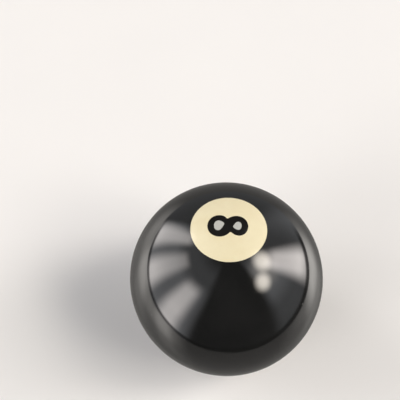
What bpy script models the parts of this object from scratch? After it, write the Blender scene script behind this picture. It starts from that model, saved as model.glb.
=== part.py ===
"""A numbered pool ball, 57.15 mm across, built as the casting it is.

A filled-resin core sits in the middle of the black outer shell. Two pegs, one at
each pole, hold the core central while the shell is cast round it. A pale number
disc closes the shell over each peg, flush with the ball. The numeral 8 runs
through the whole depth of its disc, so the two islands inside its loops are
separate pieces as well.

Origin at the ball's centre. +Z is the axis through both number discs, and the
top of each numeral points to +X. Everything is in metres.
"""

import math

import bmesh
import bpy
from mathutils import Vector
from mathutils.geometry import interpolate_bezier

MM = 0.001

# Ball and shell
BALL_RADIUS = 28.575 * MM  # 57.15 mm, 2 1/4 in across
CORE_RADIUS = 18.5 * MM
FIT_GAP = 0.15 * MM  # between the shell, the core, the pegs and the discs

# Number disc: a short plug with a spherical face
DISC_RADIUS = 10.37 * MM
DISC_UNDERSIDE = 23.0 * MM  # height of its flat back above the ball's centre

# Pegs that hold the core in the mould
PEG_RADIUS = 2.5 * MM
PEG_CHAMFER = 0.4 * MM
SOCKET_DEPTH = 2.0 * MM

# Numeral
INLAY_GAP = 0.1 * MM  # between the disc, the numeral and its islands
NUMERAL_SCALE = 1.0 * MM  # the outlines below are in millimetres

# Fineness
TURN_STEPS = 48
SHELL_RINGS = 24  # from rim to rim over the equator
DOME_RINGS = 4
CORE_RINGS = 20
CURVE_STEPS = 6  # straight pieces to each stretch of a numeral's outline

# The numeral's outlines. Each stretch is a Bezier curve between two knots, and a
# knot is its place, the heading of the outline there in degrees, and how far its
# handles reach backwards and forwards. The large loop lies to -X and the small
# one to +X, which is the numeral's top.
OUTLINE = (
    (-5.79, -0.12, 90, 1.98, 1.92),  # foot of the numeral
    (-2.80, 3.23, 0, 1.70, 1.20),
    (-0.79, 2.35, -50, 0.52, 0.22),
    (-0.50, 2.18, 3, 0.10, 0.10),  # waist
    (-0.20, 2.34, 36, 0.22, 0.50),
    (2.28, 3.27, 0, 1.24, 1.60),
    (5.19, 0.14, -90, 1.72, 1.74),  # head of the numeral
    (2.66, -3.01, 180, 1.42, 0.95),
    (0.92, -2.36, 140, 0.40, 0.18),
    (0.54, -2.18, 180, 0.12, 0.12),  # waist
    (0.14, -2.44, 232, 0.18, 0.55),
    (-2.42, -3.63, 180, 1.38, 1.90),
)
LARGE_LOOP = (
    (-4.02, -0.14, 90, 0.92, 0.88),
    (-2.92, 1.41, 0, 0.62, 0.58),
    (-1.35, 0.57, -62, 0.40, 0.16),
    (-1.33, 0.20, -108, 0.16, 0.40),
    (-2.14, -1.36, -126, 0.60, 0.30),
    (-2.88, -1.71, 180, 0.32, 0.66),
)
SMALL_LOOP = (
    (3.40, 0.06, -90, 0.80, 0.78),
    (2.46, -1.26, 180, 0.54, 0.56),
    (1.18, -0.54, 124, 0.38, 0.16),
    (1.14, -0.22, 70, 0.16, 0.38),
    (1.86, 1.02, 52, 0.52, 0.26),
    (2.50, 1.33, 0, 0.30, 0.56),
)


def clear_scene():
    for obj in list(bpy.data.objects):
        bpy.data.objects.remove(obj, do_unlink=True)


def new_collection(name):
    collection = bpy.data.collections.new(name)
    bpy.context.scene.collection.children.link(collection)
    return collection


def new_material(name, colour, roughness):
    material = bpy.data.materials.new(name)
    material.use_nodes = True
    shader = material.node_tree.nodes["Principled BSDF"]
    shader.inputs["Base Color"].default_value = (*colour, 1.0)
    shader.inputs["Roughness"].default_value = roughness
    shader.inputs["Metallic"].default_value = 0.0
    material.diffuse_color = (*colour, 1.0)
    return material


def settle(obj, material):
    """Applies the modifiers, then shades the piece smooth with crisp corners."""
    bpy.context.view_layer.update()
    graph = bpy.context.evaluated_depsgraph_get()
    mesh = bpy.data.meshes.new_from_object(obj.evaluated_get(graph))
    obj.modifiers.clear()
    rough = obj.data
    obj.data = mesh
    bpy.data.meshes.remove(rough)
    mesh.name = obj.name
    mesh.materials.clear()
    mesh.materials.append(material)
    mesh.shade_smooth()
    mesh.set_sharp_from_angle(angle=math.radians(30))


def turned(name, profile, collection):
    """A solid of revolution about Z. The profile runs down its outer side."""
    on_axis = abs(profile[0][0]) < 1e-9
    mesh = bpy.data.meshes.new(name)
    count = len(profile)
    edges = [(i, i + 1) for i in range(count - 1)]
    if not on_axis:
        edges.append((count - 1, 0))
    mesh.from_pydata([(r, 0.0, z) for r, z in profile], edges, [])
    obj = bpy.data.objects.new(name, mesh)
    collection.objects.link(obj)
    screw = obj.modifiers.new("Turn", "SCREW")
    screw.axis = "Z"
    screw.angle = math.tau
    screw.steps = TURN_STEPS
    screw.render_steps = TURN_STEPS
    screw.use_merge_vertices = True
    screw.merge_threshold = 0.00001
    return obj


def arc(radius, start, end, rings):
    """Points (r, z) on a sphere, from one angle off +Z to another."""
    return [
        (
            radius * math.sin(start + (end - start) * i / rings),
            radius * math.cos(start + (end - start) * i / rings),
        )
        for i in range(rings + 1)
    ]


def outline_points(knots, steps):
    """The closed loop of points that follows the knots' Bezier curves."""
    points = []
    for i, (x, y, heading, _, ahead) in enumerate(knots):
        next_x, next_y, next_heading, behind, _ = knots[(i + 1) % len(knots)]
        leaving = Vector((math.cos(math.radians(heading)), math.sin(math.radians(heading))))
        arriving = Vector(
            (math.cos(math.radians(next_heading)), math.sin(math.radians(next_heading)))
        )
        start, end = Vector((x, y)), Vector((next_x, next_y))
        stretch = interpolate_bezier(
            start, start + leaving * ahead, end - arriving * behind, end, steps + 1
        )
        points += [point * NUMERAL_SCALE for point in stretch[:-1]]
    return points


def moved_out(points, distance):
    """The loop with each point moved along its outward normal."""
    area = sum(a.x * b.y - b.x * a.y for a, b in zip(points, points[1:] + points[:1]))
    side = 1.0 if area > 0 else -1.0
    moved = []
    for i, point in enumerate(points):
        along = (points[(i + 1) % len(points)] - points[i - 1]).normalized()
        moved.append(point + Vector((along.y, -along.x)) * side * distance)
    return moved


def outline_cutter(name, loops, collection, parent):
    """An upright prism on the given loops; a loop inside another is a hole."""
    low, high = DISC_UNDERSIDE - 2 * MM, BALL_RADIUS + 2 * MM
    curve = bpy.data.curves.new(name, "CURVE")
    curve.dimensions = "2D"
    curve.fill_mode = "BOTH"
    curve.extrude = (high - low) / 2
    for loop in loops:
        spline = curve.splines.new("POLY")
        spline.points.add(len(loop) - 1)
        for knot, point in zip(spline.points, loop):
            knot.co = (point.x, point.y, 0.0, 1.0)
        spline.use_cyclic_u = True
    flat = bpy.data.objects.new(name + "_outline", curve)
    flat.location = (0.0, 0.0, (low + high) / 2)
    collection.objects.link(flat)
    bpy.context.view_layer.update()

    graph = bpy.context.evaluated_depsgraph_get()
    mesh = bpy.data.meshes.new_from_object(flat.evaluated_get(graph))
    body = bmesh.new()
    body.from_mesh(mesh)
    bmesh.ops.remove_doubles(body, verts=body.verts, dist=0.000001)
    bmesh.ops.recalc_face_normals(body, faces=body.faces)
    body.to_mesh(mesh)
    body.free()

    cutter = bpy.data.objects.new(name, mesh)
    collection.objects.link(cutter)
    cutter.matrix_world = flat.matrix_world.copy()
    cutter.parent = parent
    cutter.hide_render = True
    cutter.display_type = "WIRE"
    bpy.data.objects.remove(flat, do_unlink=True)
    bpy.data.curves.remove(curve)
    return cutter


def boolean(obj, operation, cutter):
    modifier = obj.modifiers.new(operation.title(), "BOOLEAN")
    modifier.operation = operation
    modifier.solver = "EXACT"
    modifier.object = cutter


def disc_blank(name, collection, parent):
    """The whole plug: spherical face, straight side, flat back."""
    edge = math.asin(DISC_RADIUS / BALL_RADIUS)
    profile = arc(BALL_RADIUS, 0.0, edge, DOME_RINGS)
    profile += [(DISC_RADIUS, DISC_UNDERSIDE), (0.0, DISC_UNDERSIDE)]
    blank = turned(name, profile, collection)
    blank.parent = parent
    return blank


def pole(name, collection, turn):
    """An empty that carries one end's peg, disc and numeral."""
    empty = bpy.data.objects.new(name, None)
    empty.empty_display_size = 0.01
    empty.rotation_euler = (turn, 0.0, 0.0)
    collection.objects.link(empty)
    return empty


def copy_to(obj, name, collection, parent):
    """The same piece at the other pole, sharing its mesh."""
    copy = bpy.data.objects.new(name, obj.data)
    copy.location = obj.location
    copy.rotation_euler = obj.rotation_euler
    copy.parent = parent
    collection.objects.link(copy)
    return copy


clear_scene()
ball = new_collection("numbered_pool_ball")
cutters = new_collection("cutters")

black_resin = new_material("black_resin", (0.012, 0.012, 0.011), 0.06)
core_resin = new_material("core_resin", (0.32, 0.30, 0.27), 0.6)
peg_resin = new_material("peg_resin", (0.22, 0.21, 0.20), 0.5)
cream_resin = new_material("cream_resin", (0.87, 0.76, 0.53), 0.08)
numeral_resin = new_material("numeral_resin", (0.014, 0.014, 0.013), 0.08)
island_resin = new_material("island_resin", (0.58, 0.58, 0.52), 0.08)

top_pole = pole("top_pole", ball, 0.0)
bottom_pole = pole("bottom_pole", ball, math.pi)

# Core: a ball with a blind socket at each pole
socket_radius = PEG_RADIUS + FIT_GAP
socket_floor = CORE_RADIUS - SOCKET_DEPTH
core_mouth = math.asin(socket_radius / CORE_RADIUS)
core_profile = [(0.0, socket_floor), (socket_radius, socket_floor)]
core_profile += arc(CORE_RADIUS, core_mouth, math.pi - core_mouth, CORE_RINGS)
core_profile += [(socket_radius, -socket_floor), (0.0, -socket_floor)]
core = turned("core_ball", core_profile, ball)
settle(core, core_resin)

# Shell: the outer sphere, a well for each disc, and a passage for each peg that
# opens into the hollow round the core
well_radius = DISC_RADIUS + FIT_GAP
well_floor = DISC_UNDERSIDE - FIT_GAP
hollow_radius = CORE_RADIUS + FIT_GAP
rim = math.asin(well_radius / BALL_RADIUS)
hollow_mouth = math.asin(socket_radius / hollow_radius)
shell_profile = arc(BALL_RADIUS, rim, math.pi - rim, SHELL_RINGS)
shell_profile += [(well_radius, -well_floor), (socket_radius, -well_floor)]
shell_profile += arc(hollow_radius, math.pi - hollow_mouth, hollow_mouth, CORE_RINGS)
shell_profile += [(socket_radius, well_floor), (well_radius, well_floor)]
shell = turned("outer_shell", shell_profile, ball)
settle(shell, black_resin)

# Peg: a chamfered pin from the core's socket to the back of the disc
peg_low = socket_floor + FIT_GAP
peg_high = DISC_UNDERSIDE - FIT_GAP
peg_mesh = bpy.data.meshes.new("core_peg_top")
pin = bmesh.new()
bmesh.ops.create_cone(
    pin,
    cap_ends=True,
    segments=24,
    radius1=PEG_RADIUS,
    radius2=PEG_RADIUS,
    depth=peg_high - peg_low,
)
pin.to_mesh(peg_mesh)
pin.free()
peg = bpy.data.objects.new("core_peg_top", peg_mesh)
ball.objects.link(peg)
peg.location = (0.0, 0.0, (peg_low + peg_high) / 2)
peg.parent = top_pole
chamfer = peg.modifiers.new("Chamfer", "BEVEL")
chamfer.width = PEG_CHAMFER
chamfer.segments = 1
chamfer.limit_method = "ANGLE"
chamfer.angle_limit = math.radians(60)
settle(peg, peg_resin)
copy_to(peg, "core_peg_bottom", ball, bottom_pole)

# Number disc, numeral and islands, all cut from the same plug
outline = outline_points(OUTLINE, CURVE_STEPS)
large_loop = outline_points(LARGE_LOOP, CURVE_STEPS)
small_loop = outline_points(SMALL_LOOP, CURVE_STEPS)

opening = outline_cutter(
    "disc_opening", [moved_out(outline, INLAY_GAP)], cutters, top_pole
)
figure = outline_cutter(
    "numeral_outline", [outline, large_loop, small_loop], cutters, top_pole
)
large_island = outline_cutter(
    "large_island", [moved_out(large_loop, -INLAY_GAP)], cutters, top_pole
)
small_island = outline_cutter(
    "small_island", [moved_out(small_loop, -INLAY_GAP)], cutters, top_pole
)

for stem, operation, cutter, material in (
    ("number_disc", "DIFFERENCE", opening, cream_resin),
    ("numeral", "INTERSECT", figure, numeral_resin),
    ("numeral_island_large", "INTERSECT", large_island, island_resin),
    ("numeral_island_small", "INTERSECT", small_island, island_resin),
):
    piece = disc_blank(stem + "_top", ball, top_pole)
    boolean(piece, operation, cutter)
    settle(piece, material)
    copy_to(piece, stem + "_bottom", ball, bottom_pole)
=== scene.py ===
"""The finished look of the numbered pool ball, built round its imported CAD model.

The visible pieces are rebuilt here as fine, flush, closed meshes at the CAD's own
dimensions: the shell, and at each pole the number disc, the numeral and the two
islands inside its loops. The core and its pegs stay as CAD solids and get their
materials. Metres, row frame: origin at the ball's centre, +Z through a number
disc, +X towards the top of each numeral.
"""

import math

import bpy
import numpy as np
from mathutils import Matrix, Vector
from mathutils.geometry import delaunay_2d_cdt, interpolate_bezier


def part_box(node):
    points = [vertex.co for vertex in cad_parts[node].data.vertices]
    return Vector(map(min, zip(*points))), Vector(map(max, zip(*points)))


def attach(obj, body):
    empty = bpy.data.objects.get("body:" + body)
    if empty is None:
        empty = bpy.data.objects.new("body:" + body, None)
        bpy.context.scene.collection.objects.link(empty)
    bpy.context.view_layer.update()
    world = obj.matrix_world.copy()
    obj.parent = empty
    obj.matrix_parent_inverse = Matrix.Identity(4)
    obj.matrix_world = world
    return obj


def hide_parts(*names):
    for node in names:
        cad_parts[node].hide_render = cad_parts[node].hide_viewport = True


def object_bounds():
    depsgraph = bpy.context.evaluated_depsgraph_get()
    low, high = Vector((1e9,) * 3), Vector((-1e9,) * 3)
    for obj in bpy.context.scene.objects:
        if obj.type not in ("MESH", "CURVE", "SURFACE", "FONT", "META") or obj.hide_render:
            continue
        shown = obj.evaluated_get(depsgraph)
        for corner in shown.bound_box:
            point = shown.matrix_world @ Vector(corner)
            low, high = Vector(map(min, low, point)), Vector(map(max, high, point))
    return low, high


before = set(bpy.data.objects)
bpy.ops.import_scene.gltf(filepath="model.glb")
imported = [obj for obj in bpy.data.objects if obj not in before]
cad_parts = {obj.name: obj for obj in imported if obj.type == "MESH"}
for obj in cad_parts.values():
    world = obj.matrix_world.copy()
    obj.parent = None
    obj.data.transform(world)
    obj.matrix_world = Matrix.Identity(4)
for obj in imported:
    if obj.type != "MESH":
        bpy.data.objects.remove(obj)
cad_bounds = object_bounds()

MM = 0.001
COLLECTION = bpy.context.scene.collection

# ----------------------------------------------------------------- dimensions
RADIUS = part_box("outer_shell")[1].x
DISC_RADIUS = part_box("number_disc_top")[1].x
DISC_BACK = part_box("number_disc_top")[0].z
CORE_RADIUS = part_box("core_ball")[1].x
PEG_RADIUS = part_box("core_peg_top")[1].x
CLEAR = 0.15 * MM  # round the core, the pegs and the back of the disc
SEAM = 0.006 * MM  # half of the hairline between two pieces that are cast together

TURN = 256  # segments round the ball
FINE = 0.45 * MM  # spacing of the points on a disc's face

# Numeral: each knot is x, y, heading in degrees, and its handles' reach back and
# forward, in millimetres.
OUTLINE = (
    (-5.79, -0.12, 90, 1.98, 1.92),
    (-2.80, 3.23, 0, 1.70, 1.20),
    (-0.79, 2.35, -50, 0.52, 0.22),
    (-0.50, 2.18, 3, 0.10, 0.10),
    (-0.20, 2.34, 36, 0.22, 0.50),
    (2.28, 3.27, 0, 1.24, 1.60),
    (5.19, 0.14, -90, 1.72, 1.74),
    (2.66, -3.01, 180, 1.42, 0.95),
    (0.92, -2.36, 140, 0.40, 0.18),
    (0.54, -2.18, 180, 0.12, 0.12),
    (0.14, -2.44, 232, 0.18, 0.55),
    (-2.42, -3.63, 180, 1.38, 1.90),
)
LARGE_LOOP = (
    (-4.02, -0.14, 90, 0.92, 0.88),
    (-2.92, 1.41, 0, 0.62, 0.58),
    (-1.35, 0.57, -62, 0.40, 0.16),
    (-1.33, 0.20, -108, 0.16, 0.40),
    (-2.14, -1.36, -126, 0.60, 0.30),
    (-2.88, -1.71, 180, 0.32, 0.66),
)
SMALL_LOOP = (
    (3.40, 0.06, -90, 0.80, 0.78),
    (2.46, -1.26, 180, 0.54, 0.56),
    (1.18, -0.54, 124, 0.38, 0.16),
    (1.14, -0.22, 70, 0.16, 0.38),
    (1.86, 1.02, 52, 0.52, 0.26),
    (2.50, 1.33, 0, 0.30, 0.56),
)


# ------------------------------------------------------------------- geometry
def new_mesh_object(name, verts, faces, polished):
    """A closed mesh. The faces marked polished are shaded as the exact sphere."""
    mesh = bpy.data.meshes.new(name)
    mesh.from_pydata(verts, [], faces)
    mesh.validate()
    mesh.update()
    normals = np.empty(len(mesh.loops) * 3, np.float32)
    mesh.corner_normals.foreach_get("vector", normals)
    normals = normals.reshape(-1, 3)
    co = np.empty(len(mesh.vertices) * 3, np.float32)
    mesh.vertices.foreach_get("co", co)
    co = co.reshape(-1, 3)
    corner = np.empty(len(mesh.loops), np.int32)
    mesh.loops.foreach_get("vertex_index", corner)
    for polygon in mesh.polygons:
        loops = range(polygon.loop_start, polygon.loop_start + polygon.loop_total)
        if polished[polygon.index]:
            for loop in loops:
                v = co[corner[loop]]
                normals[loop] = v / np.linalg.norm(v)
        else:
            for loop in loops:
                normals[loop] = polygon.normal
    mesh.shade_smooth()
    mesh.normals_split_custom_set(normals.tolist())
    obj = bpy.data.objects.new(name, mesh)
    COLLECTION.objects.link(obj)
    return obj


def arc(radius, start, end, steps):
    return [
        (
            radius * math.sin(start + (end - start) * i / steps),
            radius * math.cos(start + (end - start) * i / steps),
        )
        for i in range(steps + 1)
    ]


def shell_mesh(name):
    """The shell: outer sphere, a well at each pole, a passage for each peg and the
    hollow round the core, turned as one closed loop."""
    well = DISC_RADIUS + SEAM
    floor = DISC_BACK - CLEAR
    bore = PEG_RADIUS + CLEAR
    hollow = CORE_RADIUS + CLEAR
    rim = math.asin(well / RADIUS)
    mouth = math.asin(bore / hollow)
    outer = arc(RADIUS, rim, math.pi - rim, 150)
    profile = list(outer)
    profile += [(well, -floor), (bore, -floor)]
    profile += arc(hollow, math.pi - mouth, mouth, 48)
    profile += [(bore, floor), (well, floor)]
    count = len(profile)
    verts = [
        (r * math.cos(math.tau * k / TURN), r * math.sin(math.tau * k / TURN), z)
        for k in range(TURN)
        for r, z in profile
    ]
    faces, polished = [], []
    for k in range(TURN):
        a, b = k * count, (k + 1) % TURN * count
        for i in range(count):
            j = (i + 1) % count
            faces.append((a + i, a + j, b + j, b + i))
            polished.append(i < len(outer) - 1)
    return new_mesh_object(name, verts, faces, polished)


def outline_points(knots, steps):
    points = []
    for i, (x, y, heading, _, ahead) in enumerate(knots):
        x2, y2, heading2, behind, _ = knots[(i + 1) % len(knots)]
        a, b = math.radians(heading), math.radians(heading2)
        start, end = Vector((x, y)), Vector((x2, y2))
        leave = start + Vector((math.cos(a), math.sin(a))) * ahead
        arrive = end - Vector((math.cos(b), math.sin(b))) * behind
        stretch = interpolate_bezier(start, leave, arrive, end, steps + 1)
        points += [point * MM for point in stretch[:-1]]
    return [(p.x, p.y) for p in points]


def inside(points, loop):
    """Which points lie inside the closed loop."""
    x, y = points[:, 0], points[:, 1]
    found = np.zeros(len(points), bool)
    for (x1, y1), (x2, y2) in zip(loop, loop[1:] + loop[:1]):
        crosses = (y1 > y) != (y2 > y)
        with np.errstate(divide="ignore", invalid="ignore"):
            at = (x2 - x1) * (y - y1) / (y2 - y1) + x1
        found ^= crosses & (x < at)
    return found


def away_from(points, loop, distance):
    """Which points lie further than that from every side of the loop."""
    a = np.array(loop)
    b = np.roll(a, -1, axis=0)
    along = b - a
    t = ((points[:, None, :] - a) * along).sum(-1) / (along**2).sum(-1)
    near = a + np.clip(t, 0, 1)[..., None] * along
    return np.linalg.norm(points[:, None, :] - near, axis=-1).min(axis=1) > distance


def face_plan():
    """The plan of a pole's face: points, triangles, and each triangle's piece (0 disc,
    1 numeral, 2 large island, 3 small island)."""
    rim = [
        (DISC_RADIUS * math.cos(math.tau * k / TURN), DISC_RADIUS * math.sin(math.tau * k / TURN))
        for k in range(TURN)
    ]
    loops = [
        rim,
        outline_points(OUTLINE, 14),
        outline_points(LARGE_LOOP, 12),
        outline_points(SMALL_LOOP, 12),
    ]
    rows = int(DISC_RADIUS / FINE) + 2
    grid = np.array(
        [
            ((i + 0.5 * (j % 2)) * FINE, j * FINE * math.sqrt(3) / 2)
            for j in range(-rows - 4, rows + 5)
            for i in range(-rows, rows + 1)
        ]
    )
    grid = grid[np.hypot(grid[:, 0], grid[:, 1]) < DISC_RADIUS - 0.6 * FINE]
    for loop in loops[1:]:
        grid = grid[away_from(grid, loop, 0.4 * FINE)]
    points = [Vector(p) for loop in loops for p in loop]
    sides, start = [], 0
    for loop in loops:
        sides += [(start + i, start + (i + 1) % len(loop)) for i in range(len(loop))]
        start += len(loop)
    points += [Vector((float(x), float(y))) for x, y in grid]
    made, _, triangles, *_ = delaunay_2d_cdt(points, sides, [], 0, 1e-9)
    flat = np.array([(p.x, p.y) for p in made])
    triangles = np.array([t for t in triangles if len(t) == 3])
    middles = flat[triangles].mean(axis=1)
    a, b, c = (flat[triangles[:, i]] for i in range(3))
    turn = (b[:, 0] - a[:, 0]) * (c[:, 1] - a[:, 1]) - (b[:, 1] - a[:, 1]) * (c[:, 0] - a[:, 0])
    triangles[turn < 0] = triangles[turn < 0][:, ::-1]
    in_numeral, in_large, in_small = (inside(middles, loop) for loop in loops[1:])
    piece = np.zeros(len(triangles), int)
    piece[in_numeral] = 1
    piece[in_large] = 2
    piece[in_small] = 3
    return flat, triangles, piece


def inlay_mesh(name, plan, which, turn):
    """One piece of a pole's face: spherical front, upright sides, flat back."""
    flat, triangles, piece = plan
    mine = triangles[piece == which]
    used, index = np.unique(mine, return_inverse=True)
    mine = index.reshape(-1, 3)
    xy = flat[used].copy()
    ends = np.concatenate([mine[:, [0, 1]], mine[:, [1, 2]], mine[:, [2, 0]]])
    have = {tuple(e) for e in ends.tolist()}
    border = [(a, b) for a, b in ends.tolist() if (b, a) not in have]
    # each point of the border moves in by the seam, square to the border there
    inward = np.zeros_like(xy)
    for a, b in border:
        along = xy[b] - xy[a]
        along /= np.linalg.norm(along)
        left = np.array([-along[1], along[0]])
        inward[a] += left
        inward[b] += left
    size = np.linalg.norm(inward, axis=1)
    at_border = size > 0
    xy[at_border] += inward[at_border] / size[at_border, None] * SEAM
    count = len(xy)
    height = np.sqrt(RADIUS**2 - (xy**2).sum(axis=1))
    verts = [(x, y, z) for (x, y), z in zip(xy.tolist(), height.tolist())]
    verts += [(x, y, DISC_BACK) for x, y in xy.tolist()]
    faces = [tuple(t) for t in mine.tolist()]
    polished = [True] * len(faces)
    faces += [(a + count, c + count, b + count) for a, b, c in mine.tolist()]
    faces += [(b, a, a + count, b + count) for a, b in border]
    polished += [False] * (len(faces) - len(polished))
    if turn:
        verts = [tuple((x, -y, -z)) for x, y, z in verts]
    return new_mesh_object(name, verts, faces, polished)


# ------------------------------------------------------------------ materials
class Tree:
    """A short way to lay out a node tree."""

    def __init__(self, tree):
        self.tree = tree

    def link(self, a, b):
        self.tree.links.new(a, b)

    def put(self, node, socket, value):
        if isinstance(value, bpy.types.NodeSocket):
            self.link(value, node.inputs[socket])
        else:
            node.inputs[socket].default_value = value

    def remap(self, value, low, high, to_low=0.0, to_high=1.0, smooth=True):
        node = self.tree.nodes.new("ShaderNodeMapRange")
        node.interpolation_type = "SMOOTHSTEP" if smooth else "LINEAR"
        self.link(value, node.inputs["Value"])
        node.inputs["From Min"].default_value = low
        node.inputs["From Max"].default_value = high
        node.inputs["To Min"].default_value = to_low
        node.inputs["To Max"].default_value = to_high
        return node.outputs["Result"]

    def math(self, operation, a, b=0.0, c=None):
        node = self.tree.nodes.new("ShaderNodeMath")
        node.operation = operation
        self.put(node, 0, a)
        self.put(node, 1, b)
        if c is not None:
            self.put(node, 2, c)
        return node.outputs[0]


class Surface(Tree):
    """A material on a piece, laid out in millimetres."""

    def __init__(self, name):
        self.material = bpy.data.materials.new(name)
        self.material.use_nodes = True
        super().__init__(self.material.node_tree)
        self.shader = self.tree.nodes["Principled BSDF"]
        place = self.tree.nodes.new("ShaderNodeTexCoord")
        scale = self.tree.nodes.new("ShaderNodeVectorMath")
        scale.operation = "SCALE"
        scale.inputs["Scale"].default_value = 1000.0
        self.link(place.outputs["Object"], scale.inputs[0])
        self.mm = scale.outputs["Vector"]

    def noise(self, size_mm, detail=2.0, roughness=0.5, vector=None, distortion=0.0):
        """Noise from 0 to 1 whose features are about that size."""
        node = self.tree.nodes.new("ShaderNodeTexNoise")
        self.link(vector or self.mm, node.inputs["Vector"])
        node.inputs["Scale"].default_value = 1.0 / size_mm
        node.inputs["Detail"].default_value = detail
        node.inputs["Roughness"].default_value = roughness
        node.inputs["Distortion"].default_value = distortion
        return node.outputs["Fac"]

    def voronoi(self, size_mm, feature="F1", output="Distance", vector=None):
        node = self.tree.nodes.new("ShaderNodeTexVoronoi")
        node.feature = feature
        self.link(vector or self.mm, node.inputs["Vector"])
        node.inputs["Scale"].default_value = 1.0 / size_mm
        return node.outputs[output]

    def stretch(self, turn, factors):
        """The millimetre coordinates turned, then scaled unevenly."""
        node = self.tree.nodes.new("ShaderNodeMapping")
        self.link(self.mm, node.inputs["Vector"])
        node.inputs["Rotation"].default_value = turn
        node.inputs["Scale"].default_value = factors
        return node.outputs["Vector"]

    def mix(self, factor, a, b):
        node = self.tree.nodes.new("ShaderNodeMix")
        node.data_type = "RGBA"
        self.put(node, 0, factor)
        for socket, value in ((6, a), (7, b)):
            if not isinstance(value, bpy.types.NodeSocket):
                value = (*value, 1.0)
            self.put(node, socket, value)
        return node.outputs[2]

    def bump(self, height, distance, normal=None):
        node = self.tree.nodes.new("ShaderNodeBump")
        node.inputs["Strength"].default_value = 1.0
        node.inputs["Distance"].default_value = distance
        self.link(height, node.inputs["Height"])
        if normal is not None:
            self.link(normal, node.inputs["Normal"])
        return node.outputs["Normal"]

    def finish(self, colour, roughness, normal=None, ior=1.62):
        self.link(colour, self.shader.inputs["Base Color"])
        self.link(roughness, self.shader.inputs["Roughness"])
        if normal is not None:
            self.link(normal, self.shader.inputs["Normal"])
        self.shader.inputs["IOR"].default_value = ior
        return self.material


def scratches(nodes, turn, across_mm, along_mm, share):
    """Hairline marks in one direction: 1 on a line and 0 off it, in short runs."""
    vector = nodes.stretch(turn, (1.0 / across_mm, 1.0 / along_mm, 1.0 / along_mm))
    line = nodes.tree.nodes.new("ShaderNodeTexNoise")
    nodes.link(vector, line.inputs["Vector"])
    line.inputs["Scale"].default_value = 1.0
    line.inputs["Detail"].default_value = 0.0
    return nodes.remap(line.outputs["Fac"], 1.0 - share, 1.0 - share + 0.04)


def polished_marks(nodes):
    """What handling and a buffing wheel leave on every polished face: (roughness
    to add, height in units of a bump's distance)."""
    smudge = nodes.remap(nodes.noise(9.0, 3.0, 0.6, distortion=0.6), 0.42, 0.72)
    haze = nodes.noise(0.8, 2.0, 0.6)
    lines = scratches(nodes, (0.3, 0.5, 0.9), 0.06, 5.0, 0.26)
    more = scratches(nodes, (1.2, -0.4, 2.1), 0.05, 4.0, 0.25)
    both = nodes.math("MAXIMUM", lines, more)
    rough = nodes.math("MULTIPLY", smudge, 0.03)
    rough = nodes.math("MULTIPLY_ADD", haze, 0.012, rough)
    rough = nodes.math("MULTIPLY_ADD", both, 0.05, rough)
    return rough, both


def black_resin(name, dark, light, base_rough):
    nodes = Surface(name)
    rough, marks = polished_marks(nodes)
    cloud = nodes.noise(14.0, 3.0, 0.55)
    colour = nodes.mix(nodes.remap(cloud, 0.35, 0.65), dark, light)
    # specks of dust and pin-prick pits, far apart and a few tenths of a millimetre wide
    spot = nodes.voronoi(4.6)
    where = nodes.voronoi(4.6, output="Color")
    pick = nodes.tree.nodes.new("ShaderNodeSeparateColor")
    nodes.link(where, pick.inputs["Color"])
    chosen = nodes.math("GREATER_THAN", pick.outputs["Red"], 0.40)
    speck = nodes.math("MULTIPLY", nodes.remap(spot, 0.026, 0.046, 1.0, 0.0), chosen)
    colour = nodes.mix(nodes.math("MULTIPLY", speck, 0.50), colour, (0.13, 0.125, 0.12))
    rough = nodes.math("ADD", rough, base_rough)
    rough = nodes.math("MULTIPLY_ADD", speck, 0.35, rough)
    wave = nodes.noise(7.0, 1.0, 0.4)
    normal = nodes.bump(wave, 0.004 * MM)
    normal = nodes.bump(nodes.noise(1.6, 1.0, 0.5), 0.00025 * MM, normal)
    normal = nodes.bump(nodes.math("SUBTRACT", 1.0, marks), 0.00006 * MM, normal)
    return nodes.finish(colour, rough, normal)


def pale_resin(name, main, warm, dull, base_rough):
    nodes = Surface(name)
    rough, marks = polished_marks(nodes)
    colour = nodes.mix(nodes.remap(nodes.noise(6.0, 3.0, 0.6), 0.35, 0.7), main, warm)
    grain = nodes.remap(nodes.noise(0.35, 3.0, 0.7), 0.3, 0.75)
    colour = nodes.mix(nodes.math("MULTIPLY", grain, 0.35), colour, dull)
    rough = nodes.math("ADD", rough, base_rough)
    normal = nodes.bump(nodes.noise(5.0, 1.0, 0.4), 0.003 * MM)
    normal = nodes.bump(nodes.math("SUBTRACT", 1.0, marks), 0.00006 * MM, normal)
    return nodes.finish(colour, rough, normal)


def cast_resin(name, base, filler, pale, size_mm):
    """Unpolished resin, cloudy with mineral filler and pricked with bubbles."""
    nodes = Surface(name)
    cloud = nodes.remap(nodes.noise(size_mm * 6, 4.0, 0.6), 0.3, 0.7)
    colour = nodes.mix(cloud, base, filler)
    grit = nodes.voronoi(size_mm)
    colour = nodes.mix(nodes.remap(grit, 0.10, 0.30, 0.7, 0.0), colour, pale)
    rough = nodes.remap(nodes.noise(size_mm * 2, 2.0, 0.5), 0.2, 0.8, 0.48, 0.66)
    pits = nodes.remap(nodes.voronoi(size_mm * 1.7), 0.05, 0.20)
    normal = nodes.bump(pits, 0.03 * MM)
    normal = nodes.bump(nodes.noise(size_mm, 3.0, 0.6), 0.02 * MM, normal)
    return nodes.finish(colour, rough, normal, 1.5)


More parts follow.
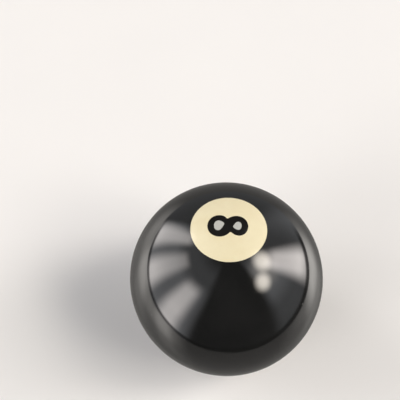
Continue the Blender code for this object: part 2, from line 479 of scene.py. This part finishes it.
shell_resin = black_resin("black_shell_resin", (0.0078, 0.0080, 0.0078), (0.0108, 0.0110, 0.0108), 0.055)
numeral_resin = black_resin("black_numeral_resin", (0.0070, 0.0066, 0.0060), (0.0100, 0.0096, 0.0090), 0.06)
disc_resin = pale_resin("cream_disc_resin", (0.80, 0.735, 0.51), (0.775, 0.70, 0.47), (0.735, 0.67, 0.47), 0.09)
# the islands inside the numeral's loops are the disc's cream resin, painted darker and greyer than the disc:
# painted shade for the light these small pieces lose through their sides
island_resin = pale_resin("island_resin", (0.495, 0.51, 0.485), (0.48, 0.49, 0.46), (0.45, 0.46, 0.435), 0.09)
core_resin = cast_resin("core_resin", (0.34, 0.31, 0.27), (0.27, 0.25, 0.22), (0.50, 0.47, 0.42), 0.9)
peg_resin = cast_resin("peg_resin", (0.24, 0.22, 0.20), (0.19, 0.18, 0.17), (0.36, 0.34, 0.31), 0.5)

# --------------------------------------------------------------------- pieces
shell = shell_mesh("polished_shell")
shell.data.materials.append(shell_resin)
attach(shell, "root")
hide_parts("outer_shell")

plan = face_plan()
for end, turn in (("top", 0.0), ("bottom", math.pi)):
    for which, stem, node, material, slot in (
        (0, "polished_disc", "number_disc", disc_resin, "cream_disc_resin"),
        (1, "inlaid_numeral", "numeral", numeral_resin, "black_numeral_resin"),
        (2, "large_island", "numeral_island_large", island_resin, "island_resin"),
        (3, "small_island", "numeral_island_small", island_resin, "island_resin"),
    ):
        piece = inlay_mesh(f"{stem}_{end}", plan, which, turn)
        piece.data.materials.append(material)
        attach(piece, "root")
        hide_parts(f"{node}_{end}")

for node, material in (
    ("core_ball", core_resin),
    ("core_peg_top", peg_resin),
    ("core_peg_bottom", peg_resin),
):
    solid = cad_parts[node]
    solid.data.materials.clear()
    solid.data.materials.append(material)

# ---------------------------------------------------------------------- stage
FLOOR_Z = cad_bounds[0].z


def direction(azimuth, elevation):
    """From the ball's centre; azimuth 0 is +Y and 90 is +X."""
    a, e = math.radians(azimuth), math.radians(elevation)
    return Vector((math.cos(e) * math.sin(a), math.cos(e) * math.cos(a), math.sin(e)))


def floor():
    """A round, pale, matt table top."""
    radius, count = 1.1, 96
    rings = [0.15, 0.35, 0.65, radius]
    verts, faces = [(0.0, 0.0, FLOOR_Z)], []
    for r in rings:
        verts += [
            (r * math.cos(math.tau * k / count), r * math.sin(math.tau * k / count), FLOOR_Z)
            for k in range(count)
        ]
    for k in range(count):
        faces.append((0, 1 + k, 1 + (k + 1) % count))
        for i in range(len(rings) - 1):
            a, b = 1 + i * count, 1 + (i + 1) * count
            faces.append((a + k, b + k, b + (k + 1) % count, a + (k + 1) % count))
    mesh = bpy.data.meshes.new("floor")
    mesh.from_pydata(verts, [], faces)
    obj = bpy.data.objects.new("floor", mesh)
    COLLECTION.objects.link(obj)
    nodes = Surface("floor")
    colour = nodes.mix(nodes.noise(60.0, 2.0, 0.5), (0.80, 0.80, 0.80), (0.83, 0.83, 0.825))
    rough = nodes.remap(nodes.noise(2.0, 2.0, 0.5), 0.2, 0.8, 0.65, 0.75)
    obj.data.materials.append(nodes.finish(colour, rough, ior=1.35))
    nodes.shader.inputs["Specular IOR Level"].default_value = 0.0
    # clear from below, so that the underside of the ball can be looked at
    clear = nodes.tree.nodes.new("ShaderNodeBsdfTransparent")
    side = nodes.tree.nodes.new("ShaderNodeNewGeometry")
    choose = nodes.tree.nodes.new("ShaderNodeMixShader")
    nodes.link(side.outputs["Backfacing"], choose.inputs[0])
    nodes.link(nodes.shader.outputs[0], choose.inputs[1])
    nodes.link(clear.outputs[0], choose.inputs[2])
    nodes.link(choose.outputs[0], nodes.tree.nodes["Material Output"].inputs["Surface"])
    # the ball mirrors the table that is painted in the world, whose near edge is close
    obj.visible_glossy = False


MATT_GAIN, GLOSS_GAIN = 0.79, 0.88


def studio_world():
    """The studio round the ball, painted by direction: three tall soft boxes on the
    left, one on the right with two lamps above it, lit walls between them, dark walls
    behind the camera, and below them the pale table, which ends in a thin dark line.
    The camera itself sees a plain pale backdrop."""
    world = bpy.data.worlds.new("studio")
    bpy.context.scene.world = world
    world.use_nodes = True
    world.node_tree.nodes.clear()
    t = Tree(world.node_tree)
    place = t.tree.nodes.new("ShaderNodeTexCoord").outputs["Generated"]
    apart = t.tree.nodes.new("ShaderNodeSeparateXYZ")
    t.link(place, apart.inputs[0])
    x, y, z = apart.outputs
    degrees = 180 / math.pi
    el = t.math("MULTIPLY", t.math("ARCSINE", z), degrees)
    az = t.math("MULTIPLY", t.math("ARCTAN2", x, y), degrees)

    def times(first, *rest):
        for value in rest:
            first = t.math("MULTIPLY", first, value)
        return first

    def plus(first, *rest):
        for value in rest:
            first = t.math("ADD", first, value)
        return first

    def bell(value, centre, inner, outer):
        away = t.math("ABSOLUTE", t.math("SUBTRACT", value, centre))
        return t.remap(away, inner, outer, 1.0, 0.0)

    def strip(centre, lean, inner, outer, low, high, top, bottom=1.0):
        """A soft box: its azimuth at the horizon, how far it leans for each degree up,
        its soft width, its level at 0 and at 40 degrees, where its top fades, and how
        much of it is left at its foot."""
        across = bell(az, t.math("MULTIPLY_ADD", el, lean, centre), inner, outer)
        level = t.remap(el, 0.0, 40.0, low, high, smooth=False)
        foot = t.remap(el, -14.0, 4.0, bottom, 1.0)
        return times(across, level, foot, t.remap(el, *top, 1.0, 0.0))

    def lamp(azimuth, elevation, inner, outer, level):
        dot = t.tree.nodes.new("ShaderNodeVectorMath")
        dot.operation = "DOT_PRODUCT"
        t.link(place, dot.inputs[0])
        dot.inputs[1].default_value = direction(azimuth, elevation)
        near = t.math("MINIMUM", dot.outputs["Value"], 1.0)
        angle = t.math("MULTIPLY", t.math("ARCCOSINE", near), degrees)
        return times(t.remap(angle, inner, outer, 1.0, 0.0), level)

    boxes = plus(
        strip(-126.3, -0.20, 3, 18.5, 5.8, 4.8, (27, 45), 0.85),
        strip(-86.5, -0.22, 3, 17.3, 5.3, 2.9, (40, 50), 0.85),
        strip(-56.8, -0.17, 2, 14.0, 4.3, 4.2, (42, 55), 0.60),
        strip(73.6, 0.31, 4, 19, 8.0, 8.0, (33, 54), 0.45),
    )
    lamps = plus(
        lamp(94, 50.5, 3, 15, 9.8),
        lamp(120, 38.3, 2.5, 13.5, 10.2),
        lamp(103, 45, 4, 24, 1.7),
    )
    # the lit wall on the left ends along a slanting edge behind the camera
    left_wall = times(
        t.remap(t.math("MULTIPLY_ADD", el, 0.17, az), -157, -141),
        t.remap(az, -52, -43, 1.0, 0.0),
        plus(t.remap(el, 55, 80, 0.50, 0.0), t.remap(el, 28, 48, 0.75, 0.0)),
    )
    right_wall = times(
        t.remap(az, 22, 40),
        t.remap(az, 118, 134, 1.0, 0.0),
        plus(
            t.remap(el, -22, 0, 0.24, 0.40),
            times(t.remap(el, 0, 28, 0.14, 0.95), t.remap(az, 80, 98)),
        ),
        t.remap(el, 48, 75, 1.0, 0.2),
    )
    back_wall = times(bell(az, 0, 40, 60), t.remap(el, 22, 45, 0.25, 0.03))
    walls = plus(left_wall, right_wall, back_wall, 0.045)

    # where the table ends: a flat top seen from the ball, with its near side close
    flat = t.math("SQRT", t.math("SUBTRACT", 1.0001, t.math("MULTIPLY", z, z)))
    edge = t.math("DIVIDE", y, flat)
    edge = t.math("MULTIPLY_ADD", edge, 0.25, -0.305)
    side = t.math("DIVIDE", x, flat)
    edge = t.math("MULTIPLY_ADD", side, -0.054, edge)
    edge = t.math("MULTIPLY_ADD", t.math("ABSOLUTE", side), -0.016, edge)
    over = t.math("SUBTRACT", el, t.math("MULTIPLY", t.math("ARCSINE", edge), degrees))
    table = t.remap(over, -0.8, 0.8, 1.0, 0.0)
    line = t.math(
        "MAXIMUM",
        times(bell(over, 2.2, 1.0, 4.2), 0.85),
        times(bell(over, 3.0, 2.0, 6.5), t.remap(az, 25, 55), 0.90),
    )
    line = times(line, t.remap(t.math("ABSOLUTE", az), 38, 56))
    clear = times(t.math("SUBTRACT", 1.0, table), t.math("SUBTRACT", 1.0, line))
    lit_top = plus(
        times(t.remap(az, -150, -122), t.remap(az, -50, -24, 1.0, 0.0), 1.20),
        times(bell(az, -119, 3, 15), 0.95),
        times(bell(az, -77, 4, 20), 1.25),
        times(bell(az, 67, 5, 28), 2.35),
        times(t.remap(az, 24, 48), t.remap(az, 85, 125, 1.0, 0.0), 0.65),
    )
    fall = plus(times(t.remap(over, -26, -3), 0.72), times(t.remap(over, -50, -12), 0.28))
    below = times(table, plus(times(lit_top, fall), 0.27))

    def tinted(level, colour):
        node = t.tree.nodes.new("ShaderNodeVectorMath")
        node.operation = "SCALE"
        node.inputs[0].default_value = colour
        t.link(level, node.inputs["Scale"])
        return node.outputs["Vector"]

    def add(a, b):
        node = t.tree.nodes.new("ShaderNodeVectorMath")
        node.operation = "ADD"
        t.link(a, node.inputs[0])
        t.link(b, node.inputs[1])
        return node.outputs["Vector"]

    light = add(
        add(
            tinted(times(boxes, clear), (1.06, 0.99, 0.95)),
            tinted(times(lamps, clear), (1.08, 0.99, 0.87)),
        ),
        add(
            tinted(times(walls, clear), (0.98, 1.0, 1.04)),
            tinted(below, (1.04, 1.0, 0.95)),
        ),
    )
    # polished faces mirror the studio a little brighter than it lights matt ones
    rays = t.tree.nodes.new("ShaderNodeLightPath").outputs
    studio = t.tree.nodes.new("ShaderNodeBackground")
    t.link(light, studio.inputs["Color"])
    t.link(
        t.remap(rays["Is Glossy Ray"], 0, 1, MATT_GAIN, GLOSS_GAIN, smooth=False),
        studio.inputs["Strength"],
    )
    backdrop = t.tree.nodes.new("ShaderNodeBackground")
    backdrop.inputs["Color"].default_value = (0.88, 0.88, 0.88, 1.0)
    choose = t.tree.nodes.new("ShaderNodeMixShader")
    t.link(rays["Is Camera Ray"], choose.inputs[0])
    t.link(studio.outputs[0], choose.inputs[1])
    t.link(backdrop.outputs[0], choose.inputs[2])
    out = t.tree.nodes.new("ShaderNodeOutputWorld")
    t.link(choose.outputs[0], out.inputs["Surface"])


floor()
studio_world()
bpy.context.scene.view_settings.view_transform = "Standard"
bpy.context.scene.view_settings.look = "None"

# --------------------------------------------------------------------- camera
camera_data = bpy.data.cameras.new("camera")
camera_data.lens = 67.5
camera_data.sensor_width = 36.0
camera_data.clip_start = 0.01
camera_data.clip_end = 20.0
camera = bpy.data.objects.new("camera", camera_data)
COLLECTION.objects.link(camera)
camera.location = (0.0, -0.111478, 0.196007)
camera.rotation_mode = "QUATERNION"
# level camera aimed a little past the ball, which sits right of and below the middle
aim = Vector((-0.04044476, 0.57933533, -0.81408525))
camera.rotation_quaternion = aim.to_track_quat("-Z", "Y")
bpy.context.scene.camera = camera
